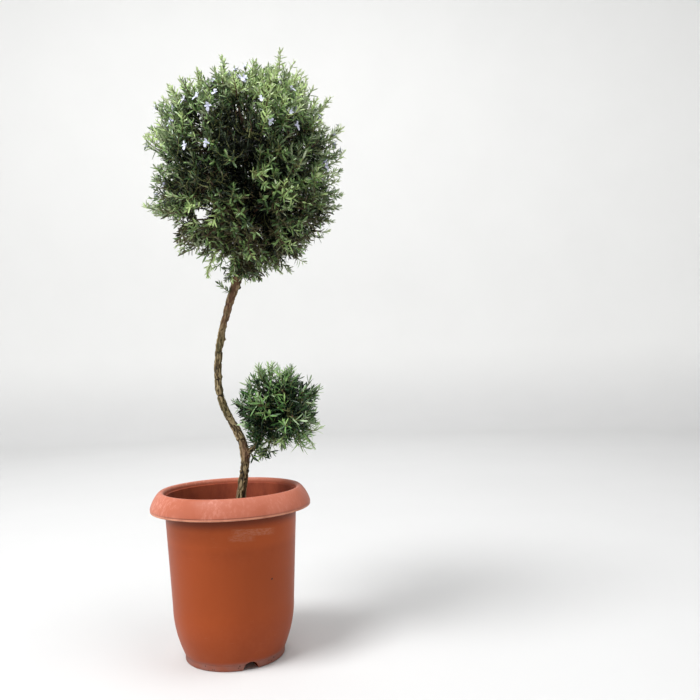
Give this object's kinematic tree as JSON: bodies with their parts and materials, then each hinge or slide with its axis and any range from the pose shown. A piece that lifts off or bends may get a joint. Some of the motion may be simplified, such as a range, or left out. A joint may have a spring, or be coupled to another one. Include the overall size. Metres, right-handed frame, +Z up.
{
  "type": "potted rosemary standard topiary",
  "caption": "Clipped rosemary tree: a leafy ball crown on a thin bowed stem with a small leafy ball on a low side bough, in a deep round plastic pot",
  "frame": {"origin": "the middle of the pot's flat underside, on the pot's own axis", "axes": "+Z up the pot's axis, +Y away from the picture's viewer, +X to the viewer's right, the side that the side ball is on"},
  "size_m": [0.2795, 0.2639, 0.8128],
  "materials": {
    "pot": "satin",
    "soil": "matte",
    "bark": "matte",
    "foliage": "matte"
  },
  "bodies": {
    "root": {"pot": "pot", "potting_soil": "soil", "trunk": "bark", "crown_bough_01": "bark", "crown_mass_01": "foliage", "crown_bough_02": "bark", "crown_mass_02": "foliage", "crown_bough_03": "bark", "crown_mass_03": "foliage", "crown_bough_04": "bark", "crown_mass_04": "foliage", "crown_bough_05": "bark", "crown_mass_05": "foliage", "crown_bough_06": "bark", "crown_mass_06": "foliage", "crown_bough_07": "bark", "crown_mass_07": "foliage", "crown_bough_08": "bark", "crown_mass_08": "foliage", "crown_bough_09": "bark", "crown_mass_09": "foliage", "crown_bough_10": "bark", "crown_mass_10": "foliage", "crown_bough_11": "bark", "crown_mass_11": "foliage", "crown_bough_12": "bark", "crown_mass_12": "foliage", "crown_bough_13": "bark", "crown_mass_13": "foliage", "crown_bough_14": "bark", "crown_mass_14": "foliage", "side_ball": "foliage", "side_bough": "bark", "stem_sprig": "foliage"}
  },
  "joints": []
}
